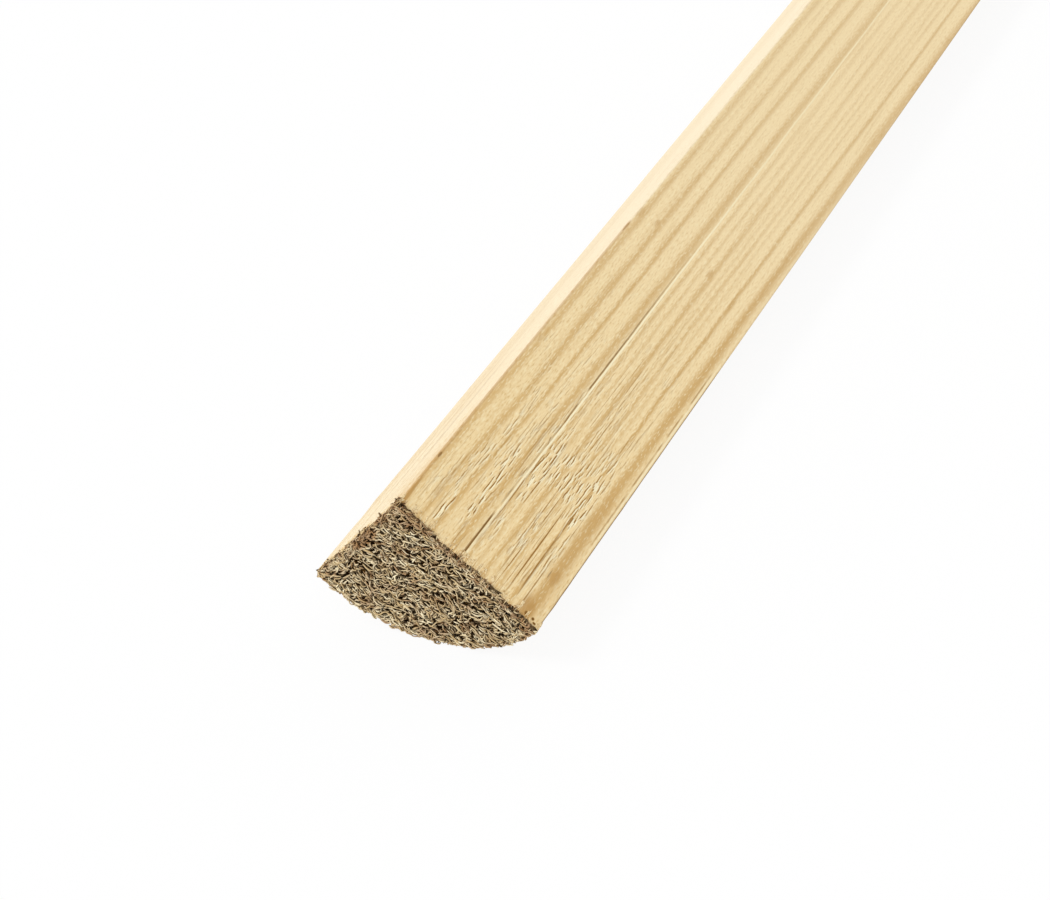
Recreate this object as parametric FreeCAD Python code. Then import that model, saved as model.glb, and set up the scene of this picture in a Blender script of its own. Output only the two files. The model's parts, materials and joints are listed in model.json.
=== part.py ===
"""Quarter round moulding: one length of planed softwood with a quarter-circle section.

Millimetres, +Z up.  The length runs along Y, centred on the origin.  The piece lies on its round
face, as a rocker comes to rest: the heel, where the two flats meet at a right angle, is on top,
and the lowest line of the round face is on Z = 0.
"""
import FreeCAD, Part
import math
import os

# Driving dimensions
LEG = 18.0          # width of each flat, from the heel to the round face, and the round's radius
LENGTH = 900.0      # length of stock as cut
TOE_EASE = 0.3      # radius that eases each long edge between a flat and the round face
HEEL_EASE = 0.2     # radius that eases the long edge between the two flats

HALF_CORNER = math.radians(45.0)    # each flat slopes this far from the vertical


def section_point(across, height):
    """A point of the section, in the plane of the front sawn end."""
    return FreeCAD.Vector(across, -LENGTH / 2, height)


def quarter_section():
    """The section as a face: two flats from the heel and the round from toe to toe."""
    toe_across = LEG * math.sin(HALF_CORNER)
    toe_height = LEG - LEG * math.cos(HALF_CORNER)
    heel = section_point(0, LEG)
    left_toe = section_point(-toe_across, toe_height)
    right_toe = section_point(toe_across, toe_height)
    lowest = section_point(0, 0)
    outline = [
        Part.LineSegment(heel, left_toe).toShape(),
        Part.Arc(left_toe, lowest, right_toe).toShape(),
        Part.LineSegment(right_toe, heel).toShape(),
    ]
    return Part.Face(Part.Wire(outline))


def long_edges(solid):
    """The edges that run the whole length, as (heel edge, toe edges)."""
    edges = [edge for edge in solid.Edges if edge.BoundBox.YLength > LENGTH / 2]
    edges.sort(key=lambda edge: edge.CenterOfMass.z)
    return edges[-1], edges[:-1]


def quarter_round():
    """The section run along the length, with its three long edges eased as they leave the planer."""
    stock = quarter_section().extrude(FreeCAD.Vector(0, LENGTH, 0))
    toes = long_edges(stock)[1]
    stock = stock.makeFillet(TOE_EASE, toes)
    heel = long_edges(stock)[0]
    return stock.makeFillet(HEEL_EASE, [heel])


os.makedirs("parts", exist_ok=True)
quarter_round().exportStep("parts/quarter_round.step")
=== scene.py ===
"""A length of pine quarter round lying on its round face, seen from above its near sawn end."""
import json
import math

import bmesh
import bpy
import numpy as np
from mathutils import Matrix, Vector, noise


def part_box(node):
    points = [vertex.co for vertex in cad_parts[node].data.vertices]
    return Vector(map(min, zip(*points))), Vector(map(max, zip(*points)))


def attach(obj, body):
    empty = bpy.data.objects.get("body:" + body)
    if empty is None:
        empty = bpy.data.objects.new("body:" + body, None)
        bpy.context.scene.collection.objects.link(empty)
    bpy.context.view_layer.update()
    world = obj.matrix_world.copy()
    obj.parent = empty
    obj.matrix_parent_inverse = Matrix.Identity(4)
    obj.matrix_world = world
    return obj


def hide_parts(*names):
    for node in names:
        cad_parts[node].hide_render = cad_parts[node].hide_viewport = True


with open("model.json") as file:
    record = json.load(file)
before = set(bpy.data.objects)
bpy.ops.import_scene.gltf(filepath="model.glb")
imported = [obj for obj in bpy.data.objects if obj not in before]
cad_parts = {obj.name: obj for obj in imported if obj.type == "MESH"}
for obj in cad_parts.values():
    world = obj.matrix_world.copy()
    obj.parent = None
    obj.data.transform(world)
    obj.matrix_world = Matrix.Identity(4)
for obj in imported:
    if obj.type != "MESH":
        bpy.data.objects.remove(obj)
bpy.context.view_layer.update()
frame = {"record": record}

MM = 0.001
SLOPE = math.sqrt(0.5)      # sine and cosine of the 45 degrees at which each flat lies

# Sizes taken from the frame.  A point of the right-hand flat's plane has X + Z equal to the leg.
FLAT_POINT = frame["record"]["mounts"][0]["pos_m"]
LEG = FLAT_POINT[0] + FLAT_POINT[2]
NEAR_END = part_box("quarter_round")[0].y
FAR_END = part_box("quarter_round")[1].y
LENGTH = FAR_END - NEAR_END

# The easing of the long edges, and the distance within which two points of the stock are one
TOE_EASE = 0.3 * MM
HEEL_EASE = 0.2 * MM
TOUCHING = 0.001 * MM

# How finely the stock's mesh is divided
FLAT_STEPS = 100            # across each flat
FLAT_CROWDING = 1.2         # how much closer together the steps are at the edges of a flat
ROUND_STEPS = 48            # around the round face
LENGTH_STEPS = 330          # along the length
LENGTH_CROWDING = 1.95      # how much closer together the steps are at the ends

# The grain.  Each late-wood band is its distance from the heel across the right-hand flat,
# half its width and its depth of colour.
LATE_BANDS = (
    (-0.8 * MM, 0.35 * MM, 0.25),
    (0.7 * MM, 0.7 * MM, 0.7),
    (3.0 * MM, 0.65 * MM, 0.72),
    (4.8 * MM, 0.5 * MM, 0.82),
    (7.2 * MM, 0.85 * MM, 0.82),
    (8.65 * MM, 0.45 * MM, 0.62),
    (9.8 * MM, 0.35 * MM, 0.42),
    (10.95 * MM, 0.55 * MM, 0.8),
    (11.95 * MM, 0.35 * MM, 0.35),
    (12.7 * MM, 0.4 * MM, 0.58),
    (13.5 * MM, 0.35 * MM, 0.38),
    (14.7 * MM, 0.4 * MM, 0.95),
    (16.8 * MM, 0.95 * MM, 1.0),
    (18.9 * MM, 0.6 * MM, 0.6),
)
RING_TILT = -0.06           # how far the rings lean away from the left-hand flat

# Waves in which the grain wanders along the length: height, length of a radian and start
WANDER = ((0.9 * MM, 85 * MM, -0.59), (0.08 * MM, 33 * MM, 2.0))
WANDER_START = 0.1          # the share of those waves that the grain follows at the heel
WANDER_FULL = 12 * MM       # how far down the right-hand flat that share grows by one
END_BEND = 0.4 * MM         # how far the grain near the heel turns towards it at the near end

# Distances from which a mark begins and at which it is full: from the near end or the nearest one, down
# the right-hand flat, or from a face
END_BEND_ALONG = (25 * MM, 5 * MM)
END_BEND_DOWN = (8 * MM, 5 * MM)
ON_FLAT = (0.3 * MM, 0.1 * MM)
BY_END = (52 * MM, 8 * MM)
SHARP_BY_END = (85 * MM, 35 * MM)
WEATHERED_BY_END = (75 * MM, 0)
TORN_DOWN = (16 * MM, 15 * MM)
CRACKED_DOWN = (15.8 * MM, 14.8 * MM)
HEEL_LINE_DOWN = (0.4 * MM, 0.2 * MM)
TOE_MARKS_START = (8 * MM, 16 * MM)
TOE_MARKS_STOP = (46 * MM, 38 * MM)
FAINT_BANDS = 11 * MM       # down the right-hand flat: the bands around here fade away from the ends
FAINT_WIDTH = (4 * MM, 2 * MM)

# Lines along the right-hand flat, with half their widths: at the edge, and where the colour is full
KNIFE_LINE = 7.8 * MM       # distance from the heel of the groove that a nick in the planing knife left
KNIFE_WOBBLE = 0.25 * MM
GROOVE_WIDTH = (0.13 * MM, 0.05 * MM)
LIP_OFFSET = 0.22 * MM      # from the groove to the lip beside it
LIP_WIDTH = (0.14 * MM, 0.04 * MM)
TOE_SCORE = 0.62 * MM       # distance from the toe of a dark line along it
SCORE_WIDTH = (0.12 * MM, 0.04 * MM)
TOE_BURR = 0.38 * MM        # distance from the toe of the pale burr beside that line
BURR_WIDTH = (0.14 * MM, 0.04 * MM)
HEEL_CHIP = 48.7 * MM       # distance from the near end at which a sliver has left the heel

# Patches of torn grain on the right-hand flat: distances from the heel and the near end, and half their
# widths and lengths
TORN_PATCHES = (
    (12 * MM, 16.5 * MM, 3.6 * MM, 4 * MM),
    (8.9 * MM, 16 * MM, 1.0 * MM, 8 * MM),
    (5.9 * MM, 9 * MM, 0.8 * MM, 8 * MM),
    (3.6 * MM, 3.5 * MM, 0.6 * MM, 3 * MM),
    (14.6 * MM, 17 * MM, 1.0 * MM, 9 * MM),
)

# The relief of the planed faces
SWELL_HEIGHT = 0.012 * MM
BAND_HEIGHT = 0.025 * MM
TORN_HEIGHT = 0.16 * MM
TORN_REACH = 36 * MM        # how far torn relief runs in from an end
GROOVE_DEPTH = 0.1 * MM
GROOVE_HALF_WIDTH = 0.2 * MM
GROOVE_REACH = 65 * MM      # how far from the near end the groove is deeper

# The sawn ends
END_NAMES = ("near", "far")
SAWN_ROUGHNESS = 0.3 * MM
SAWN_LUMPS = ((0.8, 0.6), (0.5, 1.9))   # each a share of the roughness and a number in a millimetre
SAWN_REACH = 3 * MM         # how far along the faces the end's unevenness is felt
RIM_NOTCH = 0.25 * MM       # how deep the rim of an end is broken away
RIM_WIDTH = 0.7 * MM        # and how far in

# A strand, which is a fibre or a splinter: a few points, and four sides that meet at both tips
STRAND_SIDES = 4
STRAND_GAPS = np.array((0, 1, 5, 5, 5, 1)) / 17      # between its points, as shares of its length
STRAND_SHARES = np.cumsum(STRAND_GAPS)
STRAND_RADIUS = 0.12 * MM
TIP_WIDTH = 0.0001 * MM     # points of a tip that are closer than this are one

# The mat of fibres on each sawn end.  Headings and waves are in radians, and a heading of 0 is down the
# left-hand flat.
FIBRES_PER_END = 4700
FIBRE_SEED = 11
FIBRE_LENGTH = 0.78 * MM    # the usual one
FIBRE_SPREAD = 0.4          # how widely the lengths vary, as a logarithm
FIBRE_LONGEST = 2.4 * MM
FIBRE_THICKNESS = (0.65, 1.2)           # shares of a strand's radius
FIBRE_HEADING = 2.25        # the way that most fibres lie
FIBRE_SWIRL = 1.4           # how far it swings over an end
SWIRL_SIZE = 2.2 * MM
SWIRL_SHIFT = 9 * MM        # moves the swirl of the far end, so that the two ends differ
FIBRE_STRAY = 0.5           # how far single fibres stray from it
FIBRE_WAVE = (0.1, 0.6)
WAVE_START = (0, 6.3)
WAVE_RUN = (3, 8)           # from one tip of a fibre to the other
FIBRE_CURL = 0.27
FIBRE_ARCH = 0.12 * MM      # how far the middle of a fibre may stand out
RIM_FIBRES = 0.25           # the share of the fibres that lie along the rim
RIM_INSET = (0.05 * MM, 0.6 * MM)
MAT_DEPTH = 0.4 * MM
MAT_SINK = 0.05 * MM        # how deep the lowest fibres lie in the sawn end

# Steps whose multiples, less their whole parts, lie evenly spread.  Fibres start there, with a scatter.
EVEN_STEPS = np.array((0.7548776662, 0.5698402910))
FIBRE_SCATTER = 0.08 * MM

# How far fibres reach past the outline of an end: the usual reach, and what tufts and strays add to it
OVERHANG = 0.1 * MM
TUFT_OVERHANG = 0.6 * MM
STRAY_OVERHANG = 0.2 * MM
ROUND_OVERHANG = 0.1 * MM   # the most on the round face, which lies on the floor
TUFT_SIZE = 0.7 * MM
TUFT_SHIFT = 5 * MM         # moves the tufts of the far end

# The splinters round the rim of each sawn end
SPLINTERS_PER_END = 420
SPLINTER_SEED = 21
SPLINTER_RISE = (-0.06 * MM, 0.15 * MM)     # how far a tip stands off its face
SPLINTER_SINK = 0.06 * MM   # how deep a splinter starts in its face
SPLINTER_ROOT = (0.5 * MM, 1.4 * MM)        # how far back from the end a splinter starts
SPLINTER_TIP = -0.3 * MM    # the least that a tip stands out from the end
FLAT_TIP = 0.75 * MM        # the most on a flat
ROUND_TIP = 0.35 * MM       # the most on the round face
SPLINTER_LEAN = 0.12 * MM
SPLINTER_BOW = 0.1 * MM
SPLINTER_THICKNESS = (0.35, 1.3)            # shares of a strand's radius
HEEL_TUFT = 24              # the splinters that stand up where the flats meet
HEEL_TUFT_RISE = (0.1 * MM, 0.7 * MM)

# A chip torn out of the near end by the left-hand flat: its place and half its size, down the two flats
CHIP_PLACE = np.array((7.6, 0.6)) * MM
CHIP_SIZE = np.array((2.0, 0.5)) * MM
CHIP_FIBRES = 16            # the fibres that lie straight in it
CHIP_STRAY = 0.15
CHIP_THICKNESS = 1.3

# The camera, from the near end of the heel
CAMERA_PLACE = Vector((93.95 * MM, NEAR_END - 111.25 * MM, LEG + 116.83 * MM))
CAMERA_HEADING = math.radians(35.28)
CAMERA_PITCH = math.radians(38.10)
CAMERA_ROLL = math.radians(-11.08)
CAMERA_LENS = 68.61         # in millimetres, as is the sensor
CAMERA_SENSOR = 36
CAMERA_CLIP = (5 * MM, 50)

# Light
ROOM_LIGHT = 0.86
FLOOR_GLOW = 0.92           # how much of the floor that the camera sees is plain white
FLOOR_PAPER = (0.86, 0.86, 0.86, 1)
FLOOR_SIZE = 8              # from the middle to an edge
WHITE = (1, 1, 1, 1)
KEY_STRENGTH = 1.2
KEY_FROM = (-0.5, -0.42, 0.76)
KEY_SOFTNESS = math.radians(20)

# Names: the bake map's, and the sockets that Blender gives a Mix node
BAKE_MAP = "OFBake"
MIX_SHARE, MIX_FIRST, MIX_SECOND, MIX_RESULT = 0, 6, 7, 2    # a Mix node's sockets for colours


def paint(red, green, blue):
    """A colour as it shows on a screen, 0 to 255, as the light it stands for."""
    screen = [channel / 255 for channel in (red, green, blue)]
    return tuple(c / 12.92 if c <= 0.04045 else ((c + 0.055) / 1.055) ** 2.4 for c in screen)


EARLY_WOOD = paint(245, 222, 175)
LATE_WOOD = paint(206, 169, 111)
# Pale fibre and burr, and the painted highlights beside the torn grain's hollows and cracks and on the
# knife's lip
PALE_WOOD_AND_HIGHLIGHT = paint(255, 244, 206)
# The left-hand flat's colour: paler early wood, plus painted sheen that makes it paler and greyer
LEFT_FLAT_SHEEN = paint(236, 221, 191)
WEATHERED = paint(238, 202, 130)
STAIN = paint(186, 142, 78)
# Pitch, and the painted shade in the knife's groove and on the toe's easing
PITCH_AND_SHADE = paint(122, 80, 6)
# Dark grain lines, and the painted shade in the torn grain's hollows and cracks
DARK_GRAIN_AND_SHADE = paint(147, 97, 8)
# Painted shade in the felt's pits and under the loose fibres, and the dark of some splinters
SAWN_DARK_AND_SHADE = paint(26, 9, 1)
# The felt of a sawn end, and the half shade painted on the loose fibres
SAWN_FELT_AND_SHADE = paint(106, 73, 32)
FIBRE_PALE = paint(255, 242, 205)
FIBRE_GREY = paint(206, 180, 134)
FIBRE_BROWN = paint(154, 110, 70)

# Stains and cracks on the right-hand flat: distances from the heel and the near end, half the width,
# half the length, colour and depth of colour
STAINS = (
    (15.7 * MM, 0.4 * MM, 1.1 * MM, 3 * MM, STAIN, 0.75),
    (16.4 * MM, 7 * MM, 1.3 * MM, 16 * MM, STAIN, 0.25),
    (16.3 * MM, 5.9 * MM, 0.6 * MM, 1.3 * MM, STAIN, 0.5),
    (15.7 * MM, 5.9 * MM, 0.1 * MM, 0.8 * MM, PITCH_AND_SHADE, 0.6),
    (16.0 * MM, 0.6 * MM, 0.2 * MM, 0.3 * MM, PITCH_AND_SHADE, 0.9),
    (16.9 * MM, 0.6 * MM, 0.2 * MM, 0.22 * MM, PITCH_AND_SHADE, 1.0),
    (17.25 * MM, 0.3 * MM, 0.25 * MM, 0.18 * MM, PITCH_AND_SHADE, 1.0),
    (8.2 * MM, 10 * MM, 0.1 * MM, 9 * MM, DARK_GRAIN_AND_SHADE, 0.7),
    (11.5 * MM, 9 * MM, 0.08 * MM, 7 * MM, DARK_GRAIN_AND_SHADE, 0.7),
    (13.2 * MM, 7 * MM, 0.1 * MM, 8 * MM, DARK_GRAIN_AND_SHADE, 0.9),
    (14.2 * MM, 10 * MM, 0.12 * MM, 9 * MM, DARK_GRAIN_AND_SHADE, 0.7),
    (0.3 * MM, 1 * MM, 0.25 * MM, 4 * MM, STAIN, 0.8),
    (0.2 * MM, 7.4 * MM, 0.15 * MM, 0.5 * MM, PITCH_AND_SHADE, 0.7),
    (0.15 * MM, 48.2 * MM, 0.12 * MM, 1.2 * MM, DARK_GRAIN_AND_SHADE, 0.5),
    (0.4 * MM, 51.5 * MM, 0.4 * MM, 1.2 * MM, STAIN, 0.3),
    (2.6 * MM, 52 * MM, 0.35 * MM, 0.8 * MM, STAIN, 0.35),
    (10.7 * MM, 52 * MM, 0.5 * MM, 0.9 * MM, STAIN, 0.35),
)


# Shader expressions

class Shade:
    """A shader value.  Arithmetic on it adds Math nodes to its material."""

    def __init__(self, tree, socket=None):
        self.tree = tree
        self.socket = socket

    def node(self, kind, settings=None, inputs=None, output=0):
        """Adds a node, sets it up, fills its sockets with values or links, and gives one output."""
        made = self.tree.nodes.new(kind)
        for name, value in (settings or {}).items():
            setattr(made, name, value)
        for name, value in (inputs or {}).items():
            if isinstance(value, Shade):
                self.tree.links.new(value.socket, made.inputs[name])
            else:
                made.inputs[name].default_value = value
        return Shade(self.tree, made.outputs[output])

    def maths(self, operation, *values):
        return self.node("ShaderNodeMath", {"operation": operation}, dict(enumerate(values)))

    def __add__(self, other):
        return self.maths("ADD", self, other)

    def __radd__(self, other):
        return self.maths("ADD", other, self)

    def __sub__(self, other):
        return self.maths("SUBTRACT", self, other)

    def __rsub__(self, other):
        return self.maths("SUBTRACT", other, self)

    def __mul__(self, other):
        return self.maths("MULTIPLY", self, other)

    def __rmul__(self, other):
        return self.maths("MULTIPLY", other, self)

    def __truediv__(self, other):
        return self.maths("DIVIDE", self, other)

    def __abs__(self):
        return self.maths("ABSOLUTE", self)

    def sine(self):
        return self.maths("SINE", self)

    def root(self):
        return self.maths("SQRT", self)

    def greater(self, other):
        return self.maths("MAXIMUM", self, other)

    def lesser(self, other):
        return self.maths("MINIMUM", self, other)

    def rise(self, low, high):
        """0 up to low, 1 from high on and a smooth rise between, or a fall if low is the greater."""
        return self.node("ShaderNodeMapRange", {"interpolation_type": "SMOOTHSTEP"},
                         {"Value": self, "From Min": low, "From Max": high})

    def vector(self, x, y, z):
        return self.node("ShaderNodeCombineXYZ", None, {0: x, 1: y, 2: z})

    def noise(self, place, detail=2.0, roughness=0.5):
        return self.node("ShaderNodeTexNoise", None,
                         {"Vector": place, "Scale": 1.0, "Detail": detail, "Roughness": roughness})

    def mix(self, first, second, share):
        """A colour between two."""
        ends = {MIX_FIRST: first, MIX_SECOND: second}
        for name, colour in ends.items():
            if not isinstance(colour, Shade):
                ends[name] = (*colour, 1)
        return self.node("ShaderNodeMix", {"data_type": "RGBA"}, {MIX_SHARE: share, **ends}, MIX_RESULT)


class Grain(Shade):
    """Places in a piece of the stock: u and v run down the flats from the heel, w from the near end."""

    def __init__(self, tree):
        super().__init__(tree)
        place = self.node("ShaderNodeTexCoord", output="Object")
        x, y, z = (self.node("ShaderNodeSeparateXYZ", None, {0: place}, axis) for axis in range(3))
        drop = LEG - z
        self.u = (drop - x) * SLOPE
        self.v = (drop + x) * SLOPE
        self.w = y - NEAR_END
        self.from_end = self.w.lesser(LENGTH - self.w)

    def streaks(self, across, along, detail=2.0, shift=0.0):
        """Noise drawn out along the fibres, and moved down the right-hand flat by a shift."""
        place = self.vector(self.u / across, (self.v - shift) / across, self.w / along)
        return self.noise(place, detail)

    def clumps(self, size, detail=2.0):
        """Noise with no direction."""
        place = self.vector(self.u / size, self.v / size, self.w / size)
        return self.noise(place, detail, roughness=0.6)

    def ring_place(self):
        """How far across the rings a point lies: v, with the lean, wander and bend of the grain."""
        drift = 0.0
        for height, length, start in WANDER:
            drift = (self.w / length + start).sine() * height + drift
        bend = self.w.rise(*END_BEND_ALONG) * self.v.rise(*END_BEND_DOWN) * END_BEND
        return self.v + self.u * RING_TILT - drift * (self.v / WANDER_FULL + WANDER_START) + bend

    def from_rim(self):
        """How far inside the section's outline a point lies."""
        from_round = LEG - (self.u * self.u + self.v * self.v).root()
        return self.u.lesser(self.v).lesser(from_round)

    def pits(self, across, along, level):
        """Small hollows drawn out along the fibres, for painted shade, and the lifted fibre beside
        each, for a painted highlight.
        """
        hollow_shade = self.streaks(across, along, 1).rise(level, level + 0.05)
        lifted_highlight = self.streaks(across, along, 1, across * 0.8).rise(level - 0.01, level + 0.03)
        return hollow_shade, lifted_highlight

    def patch(self, down, along, width, length):
        """A ragged patch, in a place down the right-hand flat and along it: 1 inside, 0 outside."""
        across = (self.v - down) / width
        out = (self.w - along) / length
        rough = (self.streaks(0.5 * MM, 6 * MM) - 0.5) * 0.8
        return (across * across + out * out + rough).rise(1, 0.2)


class PlanedGrain(Grain):
    """Places on the planed faces, with how much a point lies on each flat and by the ends, 0 to 1."""

    def __init__(self, tree):
        super().__init__(tree)
        self.on_left = self.v.rise(*ON_FLAT)
        self.on_right = self.u.rise(*ON_FLAT)
        self.by_end = self.from_end.rise(*BY_END)
        self.sharp = self.from_end.rise(*SHARP_BY_END)


def new_material(name):
    """A material with no nodes yet."""
    material = bpy.data.materials.new(name)
    material.use_nodes = True
    material.node_tree.nodes.clear()
    return material


def finish_material(shade, colour, roughness, specular, height):
    """Ends a material: one shader with a bumped surface, its height in millimetres."""
    tree = shade.tree
    bump = shade.node("ShaderNodeBump", None, {"Strength": 1.0, "Distance": MM, "Height": height})
    surface = shade.node("ShaderNodeBsdfPrincipled", None, {
        "Base Color": colour, "Roughness": roughness, "Normal": bump, "Specular IOR Level": specular})
    output = tree.nodes.new("ShaderNodeOutputMaterial")
    tree.links.new(surface.socket, output.inputs["Surface"])


def late_bands(pine, fine):
    """How much late wood a point shows, 0 to 1: the bands, ragged at the edges and of uneven depth."""
    wobble = (pine.streaks(1.5 * MM, 45 * MM) - 0.5) * (0.5 * MM)
    frayed = (pine.streaks(1.1 * MM, 6 * MM) - 0.5) * (0.6 * MM) * pine.sharp
    ragged = (fine - 0.5) * (0.25 * MM) + frayed
    rings = pine.ring_place() + wobble + ragged
    late = 0.0
    for place, half_width, depth in LATE_BANDS:
        late = (abs(rings - place).rise(half_width, 0) * depth).greater(late)
    uneven = pine.streaks(2.5 * MM, 60 * MM) * 0.5 + 0.75
    dashed = pine.streaks(1.2 * MM, 5 * MM).rise(0.6, 0.75) * 0.35 + 1
    faint = abs(pine.v - FAINT_BANDS).rise(*FAINT_WIDTH)
    fading = pine.sharp * (faint * 0.25 + 0.35) - faint * 0.25
    return late * uneven * dashed * (fading + pine.by_end * 0.25 + 0.65)


def stained(pine, colour):
    """A colour with age on it towards the ends, stains and pitch in spots, a line along the heel, a
    score and burr along the toe, and painted shade on the toe's easing.
    """
    weathered = pine.from_end.rise(*WEATHERED_BY_END) * 0.26 * (1 - pine.on_left * 0.6)
    colour = pine.mix(colour, WEATHERED, weathered)
    heel = pine.v.rise(*HEEL_LINE_DOWN) * pine.on_right * pine.w.rise(HEEL_CHIP + MM, HEEL_CHIP)
    colour = pine.mix(colour, STAIN, heel * (pine.by_end * 0.1 + 0.45))
    for down, along, width, length, stain, depth in STAINS:
        colour = pine.mix(colour, stain, pine.patch(down, along, width, length) * pine.on_right * depth)
    by_near_end = pine.w.rise(*TOE_MARKS_STOP)
    along_toe = by_near_end * pine.w.rise(*TOE_MARKS_START)
    scored = abs(pine.v - LEG + TOE_SCORE).rise(*SCORE_WIDTH) * pine.on_right * along_toe
    colour = pine.mix(colour, DARK_GRAIN_AND_SHADE, scored * pine.streaks(20 * MM, 4 * MM).rise(0.35, 0.55) * 0.6)
    burr = abs(pine.v - LEG + TOE_BURR).rise(*BURR_WIDTH) * pine.on_right * along_toe
    colour = pine.mix(colour, PALE_WOOD_AND_HIGHLIGHT, burr * 0.6)
    # Painted shade: a thin dark line on the toe's easing, which turns away from the key light, stronger
    # by the near end
    toe = pine.v.rise(LEG - 0.25 * MM, LEG - 0.12 * MM) * pine.u.rise(1.5 * MM, 0.3 * MM)
    return pine.mix(colour, PITCH_AND_SHADE, toe * (by_near_end * 0.6 + 0.2))


def torn_grain(pine, colour, late):
    """A colour with the torn grain by the ends on it, and its height: hollows and cracks in painted
    shade, with a painted highlight on the lifted fibre beside each.
    """
    patches = pine.streaks(1.8 * MM, 8 * MM) + pine.v.rise(1 * MM, 4 * MM) * 0.08
    patches = patches.rise(0.5, 0.66) * (0.7 - late * 0.5) * pine.from_end.rise(1 * MM, 7 * MM)
    for patch in TORN_PATCHES:
        patches = patches.greater(pine.patch(*patch))
    patches = patches * pine.by_end * (1 - pine.on_left) * pine.v.rise(*TORN_DOWN)
    # Painted shade in the hollows and long cracks, and a painted highlight on the fibre beside each;
    # the bump also raises and sinks them a little
    pits, lifted_highlight = pine.pits(0.18 * MM, 1.9 * MM, 0.56)
    crack_shade, edges = pine.pits(0.2 * MM, 11 * MM, 0.6)
    cracked = pine.streaks(2.5 * MM, 12 * MM).rise(0.4, 0.6) * pine.by_end * (1 - pine.on_left)
    cracked = cracked * (pine.v.rise(4 * MM, 9 * MM) * 0.6 + 0.4) * pine.v.rise(*CRACKED_DOWN)
    lines = pine.streaks(0.6 * MM, 45 * MM).rise(0.54, 0.62) * pine.from_end.rise(50 * MM, 10 * MM)
    colour = pine.mix(colour, DARK_GRAIN_AND_SHADE, lines * pine.u.rise(4 * MM, 9 * MM) * pine.on_left * 0.32)
    colour = pine.mix(colour, DARK_GRAIN_AND_SHADE, pits * patches * 0.95)
    colour = pine.mix(colour, DARK_GRAIN_AND_SHADE, crack_shade * cracked * 0.9)
    colour = pine.mix(colour, PALE_WOOD_AND_HIGHLIGHT, lifted_highlight * patches)
    colour = pine.mix(colour, PALE_WOOD_AND_HIGHLIGHT, edges * cracked * 0.4)
    return colour, patches * (lifted_highlight * 0.015 - pits * 0.012) + cracked * (edges - crack_shade) * 0.006


def knife_line(pine, colour):
    """A colour with the groove and the lip of a nick in the planing knife on it, the groove in painted
    shade and the lip in a painted highlight, and their height.
    """
    across = pine.v - KNIFE_LINE + (pine.streaks(20 * MM, 14 * MM) - 0.5) * KNIFE_WOBBLE
    at_end = pine.w.rise(12 * MM, 8 * MM)
    further = pine.w.rise(18 * MM, 28 * MM) * pine.w.rise(60 * MM, 30 * MM) * 0.8
    between = pine.w.rise(30 * MM, 20 * MM) * 0.4
    broken = pine.streaks(20 * MM, 5 * MM).rise(0.3, 0.45)
    deep = (at_end + further + between).lesser(1) * broken
    shaded_groove = abs(across).rise(*GROOVE_WIDTH) * deep * pine.on_right
    lit_lip = abs(across - LIP_OFFSET).rise(*LIP_WIDTH) * pine.on_right
    fainter_far = pine.w.rise(80 * MM, 30 * MM) * 0.45 + 0.5
    fainter_at_end = pine.w.rise(3 * MM, 18 * MM) * 0.4 + 0.6
    lit_lip = lit_lip * fainter_far * fainter_at_end
    # Painted highlight on the lip and painted shade in the groove, the lit and shaded walls of the
    # nick; the bump shapes them a little as well
    colour = pine.mix(colour, PALE_WOOD_AND_HIGHLIGHT, lit_lip)
    return pine.mix(colour, PITCH_AND_SHADE, shaded_groove * 0.95), lit_lip * 0.015 - shaded_groove * 0.01


def planed_pine():
    """Planed pine: late-wood bands and fibre, stains, torn grain by the ends and the knife's groove,
    with painted shade, highlights and sheen.
    """
    material = new_material("planed_pine")
    pine = PlanedGrain(material.node_tree)
    coarse = pine.streaks(0.5 * MM, 12 * MM)
    fine = pine.streaks(0.18 * MM, 0.7 * MM)
    late = late_bands(pine, fine)
    speckled = pine.sharp * 0.2 + pine.by_end * 0.3 + 0.25
    # Painted sheen: the left-hand flat is paler and greyer than the right-hand one
    colour = pine.mix(EARLY_WOOD, LEFT_FLAT_SHEEN, pine.on_left * 0.85)
    colour = pine.mix(colour, LATE_WOOD, late)
    colour = pine.mix(colour, LATE_WOOD, coarse.rise(0.5, 0.75) * 0.25)
    colour = pine.mix(colour, LATE_WOOD, fine.rise(0.5, 0.75) * speckled)
    colour = pine.mix(colour, PALE_WOOD_AND_HIGHLIGHT, fine.rise(0.5, 0.25) * speckled)
    colour = stained(pine, colour)
    colour, torn_height = torn_grain(pine, colour, late)
    colour, line_height = knife_line(pine, colour)
    torn_edge = (pine.streaks(0.3 * MM, 3 * MM, 3) - 0.45) * (1.6 * MM)
    colour = pine.mix(colour, FIBRE_BROWN, (torn_edge - pine.from_end).rise(0, 0.12 * MM) * 0.3)
    height = fine * 0.03 + coarse * 0.03 + torn_height + line_height
    finish_material(pine, colour, roughness=0.55, specular=0.2, height=height)
    return material


def torn_end():
    """The felt of torn wood under the fibres of a sawn end, with pits in it that are painted dark as
    shade.
    """
    material = new_material("torn_end")
    wood = Grain(material.node_tree)
    felt = wood.clumps(0.35 * MM, 3)
    # Painted shade: the felt's pits, which the bump sinks a little, are painted near black
    colour = wood.mix(SAWN_DARK_AND_SHADE, SAWN_FELT_AND_SHADE, felt.rise(0.44, 0.58))
    torn = wood.mix(FIBRE_BROWN, EARLY_WOOD, wood.clumps(0.5 * MM).rise(0.48, 0.6))
    colour = wood.mix(colour, torn, wood.from_rim().rise(0.5 * MM, 0.1 * MM) * felt.rise(0.38, 0.5))
    finish_material(wood, colour, roughness=0.9, specular=0.0, height=felt * 0.3)
    return material


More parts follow.
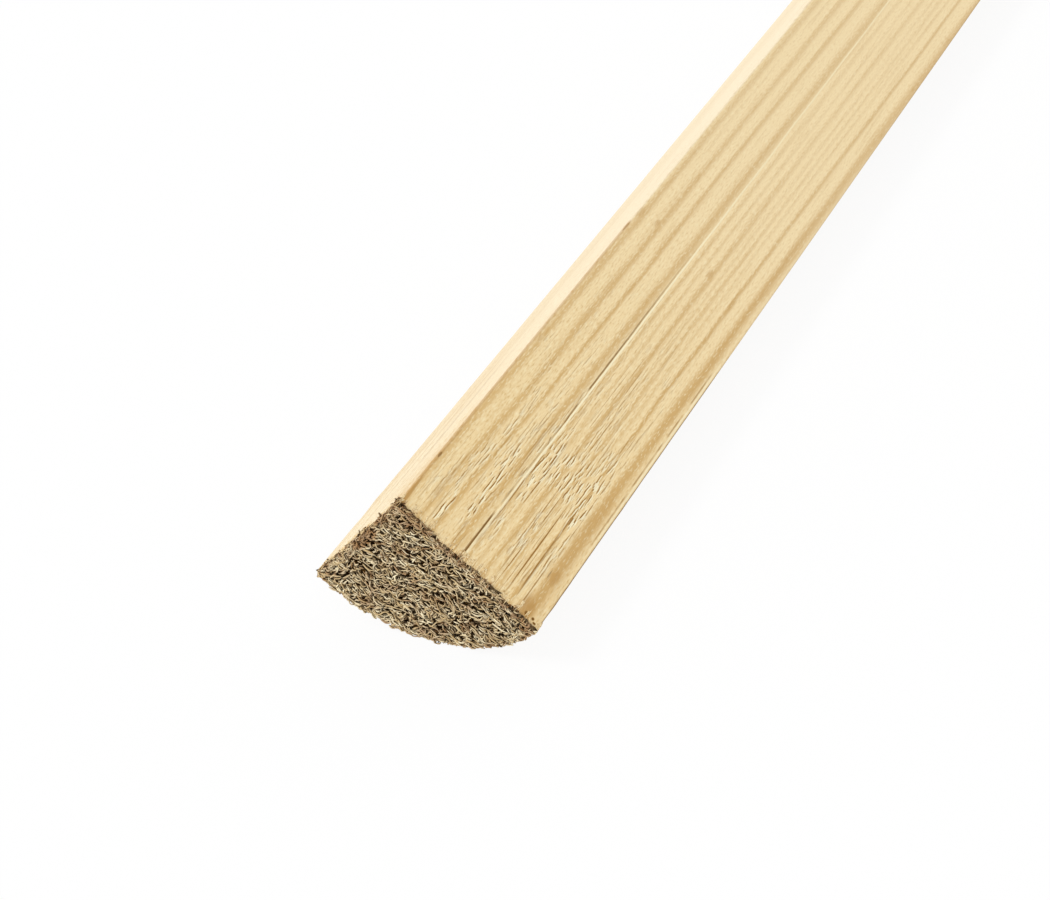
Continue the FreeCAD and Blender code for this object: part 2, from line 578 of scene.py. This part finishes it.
def torn_fibre():
    """Loose fibres of a sawn end: straw to grey, brown in patches, with painted shade on their sides
    and on the lower strands.
    """
    material = new_material("torn_fibre")
    wood = Grain(material.node_tree)
    strand = wood.node("ShaderNodeNewGeometry", output="Random Per Island")
    layer = wood.node("ShaderNodeAttribute", {"attribute_name": "layer"}, output="Fac")
    flank = wood.node("ShaderNodeAttribute", {"attribute_name": "flank"}, output="Fac")
    patch = wood.noise(wood.vector(wood.u / (2.2 * MM), wood.v / (2.2 * MM), 0.0))
    by_rim = wood.from_rim().rise(0.8 * MM, 0.15 * MM) * wood.clumps(0.9 * MM).rise(0.38, 0.58)
    by_heel = (wood.u + wood.v).rise(6 * MM, 2 * MM)
    brown = (patch + strand * 0.4 + by_rim * 0.2 + by_heel * 0.18).rise(0.6, 1.05) * 0.8
    across = (wood.u - CHIP_PLACE[0]) / CHIP_SIZE[0]
    down = (wood.v - CHIP_PLACE[1]) / CHIP_SIZE[1]
    chip = (across * across + down * down).rise(2, 1) * wood.w.rise(9 * MM, 3 * MM)
    colour = wood.mix(FIBRE_PALE, FIBRE_GREY, (strand * 7).sine() * 0.5 + 0.5)
    colour = wood.mix(colour, FIBRE_BROWN, brown.greater(chip * 0.75))
    # Painted shade: the strands' sides and the lower strands take the felt's colour, the deepest ones
    # near black, less so by the rim
    half_shade = flank.rise(0.5, 0.85).greater(layer.rise(0.8, 0.35) * 0.6)
    colour = wood.mix(colour, SAWN_FELT_AND_SHADE, half_shade * (0.9 - by_rim * 0.4))
    deep = flank.rise(0.66, 0.96).greater(layer.rise(0.65, 0.25) * 0.92)
    colour = wood.mix(colour, SAWN_DARK_AND_SHADE, deep * (0.95 - by_rim * 0.45))
    finish_material(wood, colour, roughness=0.85, specular=0.0, height=wood.clumps(0.3 * MM) * 0.05)
    return material


def frayed_pine():
    """Splinters along the rim of a sawn end: pale as the planed faces, browned or dark."""
    material = new_material("frayed_pine")
    wood = Grain(material.node_tree)
    strand = wood.node("ShaderNodeNewGeometry", output="Random Per Island")
    colour = wood.mix(EARLY_WOOD, LATE_WOOD, wood.clumps(0.3 * MM).rise(0.4, 0.7))
    browned = strand + (wood.u + wood.v).rise(1.5 * MM, 0.3 * MM) * 0.3
    colour = wood.mix(colour, FIBRE_BROWN, browned.rise(0.6, 0.75) * wood.from_end.rise(0.7 * MM, 0))
    dark = browned.rise(0.85, 0.95) * wood.from_end.rise(0.6 * MM, 0) * 0.7
    colour = wood.mix(colour, SAWN_DARK_AND_SHADE, dark)
    finish_material(wood, colour, roughness=0.8, specular=0.2, height=wood.clumps(0.2 * MM) * 0.05)
    return material


# The stock

def down_flats(x, z):
    """Distances down the left and the right flat from the heel, for a point of the section."""
    drop = LEG - z
    return Vector(((drop - x) * SLOPE, (drop + x) * SLOPE))


def section_place(flats):
    """The section point, X and Z, at distances down the two flats."""
    u, v = flats
    return (v - u) * SLOPE, LEG - (u + v) * SLOPE


def eased_corners():
    """Each long edge's easing: centre, radius and the ways from the centre to its two faces."""
    inset = math.sqrt((LEG - TOE_EASE) ** 2 - TOE_EASE ** 2)
    left = Vector((inset, TOE_EASE))
    right = Vector((TOE_EASE, inset))
    heel = Vector((HEEL_EASE, HEEL_EASE))
    to_left_flat = Vector((0, -1))
    to_right_flat = Vector((-1, 0))
    return (
        (left, TOE_EASE, to_left_flat, left.normalized()),
        (right, TOE_EASE, right.normalized(), to_right_flat),
        (heel, HEEL_EASE, to_left_flat, to_right_flat),
    )


def cross(a, b):
    """Positive where b lies on one side of a, negative on the other."""
    return a.x * b.y - a.y * b.x


def ease(flats, corners):
    """Pulls a point of the sharp section onto the easing of the corner that it lies in."""
    for centre, radius, first, second in corners:
        out = flats - centre
        turn = cross(first, second)
        in_corner = cross(first, out) / turn > 0 and cross(out, second) / turn > 0
        if in_corner and out.length > radius:
            return centre + out * (radius / out.length)
    return flats


def fold_map(bm):
    """A bake map with the faces' strips in four rows, and the sawn ends beside them."""
    layer = bm.loops.layers.uv.new(BAKE_MAP)
    rows = 4
    strip = LEG * (2 + math.pi / 2)
    gap = 1.2 * MM
    scale = 1 / (rows * (strip + 4 * gap))
    row_length = LENGTH / rows
    end_scale = (1 - row_length * scale) / (2 * LEG * SLOPE + 4 * gap)
    for face in bm.faces:
        middle = face.calc_center_median()
        along = middle.y - NEAR_END
        if face.material_index:
            shift = 0 if along < LENGTH / 2 else LEG + 3 * gap
            for loop in face.loops:
                x, _, z = loop.vert.co
                across = row_length * scale + (x + LEG * SLOPE + 2 * gap) * end_scale
                loop[layer].uv = (across, (z + shift + gap) * end_scale)
            continue
        row = min(rows - 1, int(along / row_length))
        flats = down_flats(middle.x, middle.z)
        on_left = flats.y < TOUCHING
        on_right = flats.x < TOUCHING
        for loop in face.loops:
            u, v = down_flats(loop.vert.co.x, loop.vert.co.z)
            if on_left:
                across = u
            elif on_right:
                across = LEG + gap + v
            else:
                across = 2 * (LEG + gap) + LEG * math.atan2(v, u)
            place = loop.vert.co.y - NEAR_END - row * row_length
            loop[layer].uv = (place * scale, (row * (strip + 4 * gap) + across + gap) * scale)


def sawn_depth(x, z, end):
    """How far a point of a sawn end stands out or back: lumps, and a rim that is broken away."""
    place = Vector((x / MM, z / MM, 40 * end))
    lumps = sum(share * noise.noise(place * number) for share, number in SAWN_LUMPS)
    u, v = down_flats(x, z)
    inside = min(u, v, LEG - math.hypot(u, v))
    by_rim = max(0, 1 - inside / RIM_WIDTH)
    notch = max(0, noise.noise(place * 2.3 + Vector((3, 9, 1))) + 0.15)
    return SAWN_ROUGHNESS * lumps - RIM_NOTCH * notch * by_rim


def tent(distance, half_width):
    """1 on a line, falling straight to 0 at half its width."""
    return max(0, 1 - abs(distance) / half_width)


def late_wood(u, v, w):
    """How far into a late-wood band a point lies, 0 to 1."""
    drift = sum(height * math.sin(w / length + start) for height, length, start in WANDER)
    rings = v + u * RING_TILT - drift * (v / WANDER_FULL + WANDER_START)
    return max(depth * tent(rings - place, half_width) for place, half_width, depth in LATE_BANDS)


def streak(u, v, w, across, along):
    """Noise drawn out along the fibres, -1 to 1."""
    return noise.noise(Vector((u / across, v / across, w / along)))


def face_relief(u, v, w):
    """How far a planed face stands proud: raised bands, the knife's groove, torn grain by the ends."""
    from_end = min(w, LENGTH - w)
    near = max(0, 1 - from_end / TORN_REACH)
    patch = streak(u, v, w, 2.4 * MM, 9 * MM)
    torn = streak(u, v, w, 0.45 * MM, 2.4 * MM)
    swell = streak(u, v, w, 1.5 * MM, 25 * MM)
    height = SWELL_HEIGHT * swell + BAND_HEIGHT * late_wood(u, v, w)
    height += TORN_HEIGHT * max(0, patch + 0.25) * torn * near
    if u < TOE_EASE:
        deep = 0.25 + 0.75 * max(0, 1 - w / GROOVE_REACH)
        height -= GROOVE_DEPTH * tent(v - KNIFE_LINE, GROOVE_HALF_WIDTH) * deep
    return height


def crowded(share, strength):
    """A share, 0 to 1, moved so that even steps of it lie closer together towards 0 and 1."""
    return (1 + math.tanh(strength * (2 * share - 1)) / math.tanh(strength)) / 2


def quarter_round():
    """The stock: a leg spun about the heel into the sawn end, run along the length, eased and worn."""
    bm = bmesh.new()
    heel = Vector((0, NEAR_END, LEG))
    toe = Vector((-LEG * SLOPE, NEAR_END, LEG * (1 - SLOPE)))
    leg = bm.edges.new((bm.verts.new(heel), bm.verts.new(toe)))
    bmesh.ops.subdivide_edges(bm, edges=[leg], cuts=FLAT_STEPS - 1)
    for vert in bm.verts:
        vert.co = heel.lerp(toe, crowded((vert.co - heel).length / LEG, FLAT_CROWDING))
    bmesh.ops.spin(bm, geom=bm.verts[:] + bm.edges[:], cent=heel, axis=(0, 1, 0),
                   angle=-math.pi / 2, steps=ROUND_STEPS)
    bmesh.ops.remove_doubles(bm, verts=bm.verts[:], dist=TOUCHING)
    run = bmesh.ops.extrude_face_region(bm, geom=bm.faces[:], use_keep_orig=True)
    far = [item for item in run["geom"] if isinstance(item, bmesh.types.BMVert)]
    bmesh.ops.translate(bm, verts=far, vec=(0, LENGTH, 0))
    for face in bm.faces:
        face.material_index = int(abs(face.calc_center_median().y) > LENGTH / 2 - TOUCHING)
    lengthwise = [edge for edge in bm.edges if edge.calc_length() > LENGTH / 2]
    bmesh.ops.subdivide_edges(bm, edges=lengthwise, cuts=LENGTH_STEPS - 1)
    for vert in bm.verts:
        vert.co.y = NEAR_END + LENGTH * crowded((vert.co.y - NEAR_END) / LENGTH, LENGTH_CROWDING)
    bmesh.ops.recalc_face_normals(bm, faces=bm.faces[:])
    fold_map(bm)

    corners = eased_corners()
    for vert in bm.verts:
        vert.co.x, vert.co.z = section_place(ease(down_flats(vert.co.x, vert.co.z), corners))
    bm.normal_update()
    for vert in bm.verts:
        x, y, z = vert.co
        w = y - NEAR_END
        end = 0 if w < LENGTH / 2 else 1
        from_end = min(w, LENGTH - w)
        outwards = vert.normal.copy()
        outwards.y = 0
        if from_end > TOUCHING:
            u, v = down_flats(x, z)
            vert.co += outwards * face_relief(u, v, w)
        if from_end < SAWN_REACH:
            out = sawn_depth(x, z, end) * (1 - from_end / SAWN_REACH)
            vert.co.y += out if end else -out
    return piece_from(bm, "quarter_round_stock")


def piece_from(bm, name):
    """A smooth-shaded piece in the scene, with its place in its mesh."""
    mesh = bpy.data.meshes.new(name)
    bm.to_mesh(mesh)
    bm.free()
    mesh.shade_smooth()
    piece = bpy.data.objects.new(name, mesh)
    bpy.context.scene.collection.objects.link(piece)
    return piece


# Loose fibres

def strands(name, paths):
    """Many tapered strands in one mesh.  A path is points, and shares of a strand's radius there.

    The mesh keeps how late in the order each strand comes, 0 to 1, and which of its edges are flanks.
    """
    curve = bpy.data.curves.new(name, "CURVE")
    curve.dimensions = "3D"
    curve.bevel_depth = STRAND_RADIUS
    curve.bevel_resolution = 0
    for points, shares in paths:
        spline = curve.splines.new("POLY")
        spline.points.add(len(points) - 1)
        spline.points.foreach_set("co", np.c_[points, np.ones(len(points))].ravel())
        spline.points.foreach_set("radius", shares)
    form = bpy.data.objects.new(name, curve)
    bpy.context.scene.collection.objects.link(form)
    bpy.context.view_layer.update()
    mesh = bpy.data.meshes.new_from_object(form.evaluated_get(bpy.context.evaluated_depsgraph_get()))
    bpy.data.objects.remove(form)
    # The layer and flank values say where the fibres' material paints shade: on the lower strands and
    # on the strands' sides
    layers = np.repeat(np.linspace(0, 1, len(paths)), STRAND_SIDES * len(STRAND_GAPS))
    mesh.attributes.new("layer", "FLOAT", "POINT").data.foreach_set("value", layers)
    flanks = 1.0 - np.arange(len(layers)) % 2
    mesh.attributes.new("flank", "FLOAT", "POINT").data.foreach_set("value", flanks)
    strand_map(mesh, len(paths))
    bm = bmesh.new()
    bm.from_mesh(mesh)
    bmesh.ops.remove_doubles(bm, verts=bm.verts[:], dist=TIP_WIDTH)
    bmesh.ops.recalc_face_normals(bm, faces=bm.faces[:])
    bpy.data.meshes.remove(mesh)
    return piece_from(bm, name)


def strand_map(mesh, count):
    """A bake map in which each strand has a strip of its own, which its four sides share."""
    corners = np.empty(len(mesh.loops), int)
    mesh.loops.foreach_get("vertex_index", corners)
    strand, corner = np.divmod(corners, STRAND_SIDES * len(STRAND_GAPS))
    point, side = np.divmod(corner, STRAND_SIDES)
    columns = 32
    margin = 0.1
    rows = math.ceil(count / columns)
    row, column = np.divmod(strand, columns)
    along = column + point / len(STRAND_GAPS)
    across = row + margin + (1 - 2 * margin) * (side % 2)
    for name in mesh.uv_layers.keys():
        mesh.uv_layers.remove(mesh.uv_layers[name])
    places = np.c_[along / columns, across / rows]
    mesh.uv_layers.new(name=BAKE_MAP).data.foreach_set("uv", places.ravel())


def rim_place(rng):
    """A place on the rim of the section, and the ways out of it and along it, down the two flats."""
    side = rng.random() * (2 + math.pi / 2)
    if side < 1:
        return np.array((side * LEG, 0)), np.array((0, -1)), np.array((1, 0))
    if side < 2:
        return np.array((0, (side - 1) * LEG)), np.array((-1, 0)), np.array((0, 1))
    out = np.array((math.cos(side - 2), math.sin(side - 2)))
    return out * LEG, out, np.array((-out[1], out[0]))


def end_place(end, us, vs, outs):
    """Points in the frame from places down the flats and distances out from a sawn end."""
    xs, zs = section_place((us, vs))
    return np.c_[xs, FAR_END + outs if end else NEAR_END - outs, zs]


def end_noise(place, shift, size):
    """Noise over a sawn end, with lumps of the size given, moved by a shift."""
    return noise.noise(Vector((*place, shift)) / size)


def fibre_start(rng, tries, end):
    """Where a fibre starts, down the two flats, and the way it heads: as most do, or along the rim."""
    ring, turn = tries * EVEN_STEPS % 1
    angle = turn * math.pi / 2
    start = LEG * math.sqrt(ring) * np.array((math.cos(angle), math.sin(angle)))
    start = start + rng.normal(0, FIBRE_SCATTER, 2)
    swirl = end_noise(start, SWIRL_SHIFT * end, SWIRL_SIZE)
    heading = FIBRE_HEADING + swirl * FIBRE_SWIRL + rng.normal(0, FIBRE_STRAY)
    if rng.random() < RIM_FIBRES:
        place, out, along = rim_place(rng)
        start = place - out * rng.uniform(*RIM_INSET)
        heading = math.atan2(along[1], along[0]) + rng.choice((0, math.pi)) + rng.normal(0, FIBRE_STRAY)
    return start, heading


def curled(rng, start, heading):
    """A curled fibre: how far down each flat its points lie."""
    share = STRAND_SHARES
    wave = rng.uniform(*FIBRE_WAVE) * np.sin(rng.uniform(*WAVE_START) + share * rng.uniform(*WAVE_RUN))
    turns = heading + wave + np.cumsum(rng.normal(0, FIBRE_CURL, len(share)))
    length = min(FIBRE_LONGEST, rng.lognormal(math.log(FIBRE_LENGTH), FIBRE_SPREAD))
    us = start[0] + np.cumsum(np.cos(turns) * STRAND_GAPS) * length
    vs = start[1] + np.cumsum(np.sin(turns) * STRAND_GAPS) * length
    return us, vs


def end_fibres(end):
    """The mat of torn, curled fibres on one sawn end, laid from the bottom up."""
    rng = np.random.default_rng(FIBRE_SEED + end)
    arch = np.sin(STRAND_SHARES * math.pi)
    taper = arch ** 0.35
    paths = []
    tries = 0
    while len(paths) < FIBRES_PER_END:
        layer = len(paths) / FIBRES_PER_END
        tries += 1
        start, heading = fibre_start(rng, tries, end)
        thickness = rng.uniform(*FIBRE_THICKNESS)
        if end == 0 and len(paths) >= FIBRES_PER_END - CHIP_FIBRES:
            start = CHIP_PLACE + CHIP_SIZE * rng.uniform(-1, 1, 2)
            heading = math.pi + rng.normal(0, CHIP_STRAY)
            thickness *= CHIP_THICKNESS
        us, vs = curled(rng, start, heading)
        tuft = end_noise(start, TUFT_SHIFT * end, TUFT_SIZE)
        overhang = OVERHANG + TUFT_OVERHANG * tuft + STRAY_OVERHANG * rng.random() ** 3
        past_flat = min(us.min(), vs.min()) < -overhang
        if past_flat or np.hypot(us, vs).max() > LEG + min(overhang, ROUND_OVERHANG):
            continue
        lift = MAT_DEPTH * layer - MAT_SINK + FIBRE_ARCH * arch * rng.random()
        outs = sawn_depth(*section_place(start), end) + lift
        paths.append((end_place(end, us, vs, outs), taper * thickness))
    return strands(f"{END_NAMES[end]}_end_fibres", paths)


def end_splinters(end):
    """Teeth of frayed wood round the rim of one sawn end."""
    rng = np.random.default_rng(SPLINTER_SEED + end)
    share = STRAND_SHARES
    taper = 1 - 0.75 * share ** 1.5
    taper[[0, -1]] = 0
    corners = eased_corners()
    paths = []
    for index in range(SPLINTERS_PER_END):
        place, out, along = rim_place(rng)
        rise = rng.uniform(*SPLINTER_RISE)
        if index < HEEL_TUFT:
            place = np.zeros(2)
            out = np.array((-SLOPE, -SLOPE))
            rise = rng.uniform(*HEEL_TUFT_RISE)
        place = np.array(ease(Vector(place), corners))
        on_flat = out.min() < 0
        root = rng.uniform(*SPLINTER_ROOT)
        tip = rng.uniform(SPLINTER_TIP, FLAT_TIP if on_flat else ROUND_TIP)
        outwards = rise * share ** 2 - SPLINTER_SINK
        sideways = rng.normal(0, SPLINTER_LEAN) * share + rng.normal(0, SPLINTER_BOW) * share ** 2
        us, vs = place[:, None] + out[:, None] * outwards + along[:, None] * sideways
        outs = sawn_depth(*section_place(place), end) + tip * share - root * (1 - share)
        paths.append((end_place(end, us, vs, outs), taper * rng.uniform(*SPLINTER_THICKNESS)))
    return strands(f"{END_NAMES[end]}_end_splinters", paths)


# The stage

def look_along(heading, pitch, roll):
    """A camera's turn: heading left of +Y, pitch below level, roll about its own line of sight."""
    turn = Matrix.Rotation(heading, 4, "Z") @ Matrix.Rotation(math.pi / 2 - pitch, 4, "X")
    return turn @ Matrix.Rotation(roll, 4, "Z")


def camera():
    """The camera that the scene is seen through."""
    lens = bpy.data.cameras.new("camera")
    lens.sensor_width = CAMERA_SENSOR
    lens.lens = CAMERA_LENS
    lens.clip_start, lens.clip_end = CAMERA_CLIP
    view = bpy.data.objects.new("camera", lens)
    turn = look_along(CAMERA_HEADING, CAMERA_PITCH, CAMERA_ROLL)
    view.matrix_world = Matrix.Translation(CAMERA_PLACE) @ turn
    bpy.context.scene.collection.objects.link(view)
    bpy.context.scene.camera = view


def lamp(name, towards, strength, softness):
    """A broad lamp far away, in the direction given."""
    light = bpy.data.lights.new(name, "SUN")
    light.energy = strength
    light.angle = softness
    hung = bpy.data.objects.new(name, light)
    hung.rotation_euler = Vector(towards).to_track_quat("Z", "Y").to_euler()
    bpy.context.scene.collection.objects.link(hung)


def white_to_the_eye(shade):
    """1 for what the camera sees, straight or by a mirror or glass, and 0 for what lights the piece."""
    seen = [shade.node("ShaderNodeLightPath", output=name)
            for name in ("Is Camera Ray", "Is Glossy Ray", "Is Transmission Ray")]
    return seen[0].greater(seen[1]).greater(seen[2])


def white_room():
    """Light from all sides, and plain white to the eye."""
    world = bpy.data.worlds.new("white_room")
    bpy.context.scene.world = world
    world.use_nodes = True
    tree = world.node_tree
    tree.nodes.clear()
    shade = Shade(tree)
    strength = white_to_the_eye(shade) * (1 - ROOM_LIGHT) + ROOM_LIGHT
    light = shade.node("ShaderNodeBackground", None, {"Color": WHITE, "Strength": strength})
    tree.links.new(light.socket, tree.nodes.new("ShaderNodeOutputWorld").inputs["Surface"])


def white_floor():
    """Pale paper under the piece, most of it plain white to the eye."""
    bm = bmesh.new()
    bmesh.ops.create_grid(bm, x_segments=1, y_segments=1, size=FLOOR_SIZE)
    floor = piece_from(bm, "floor")
    material = new_material("white_floor")
    tree = material.node_tree
    shade = Shade(tree)
    paper = shade.node("ShaderNodeBsdfDiffuse", None, {"Color": FLOOR_PAPER})
    glow = shade.node("ShaderNodeEmission", None, {"Color": WHITE, "Strength": 1.0})
    white = white_to_the_eye(shade) * FLOOR_GLOW
    both = shade.node("ShaderNodeMixShader", None, {0: white, 1: paper, 2: glow})
    tree.links.new(both.socket, tree.nodes.new("ShaderNodeOutputMaterial").inputs["Surface"])
    floor.data.materials.append(material)


stock = quarter_round()
stock.data.materials.append(planed_pine())
stock.data.materials.append(torn_end())
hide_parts("quarter_round")
pieces = [stock]
fibre = torn_fibre()
frayed = frayed_pine()
for end in (0, 1):
    mat = end_fibres(end)
    mat.data.materials.append(fibre)
    rim = end_splinters(end)
    rim.data.materials.append(frayed)
    pieces += [mat, rim]
for piece in pieces:
    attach(piece, "root")

white_floor()
white_room()
lamp("key", KEY_FROM, KEY_STRENGTH, KEY_SOFTNESS)
camera()
bpy.context.scene.view_settings.view_transform = "Standard"
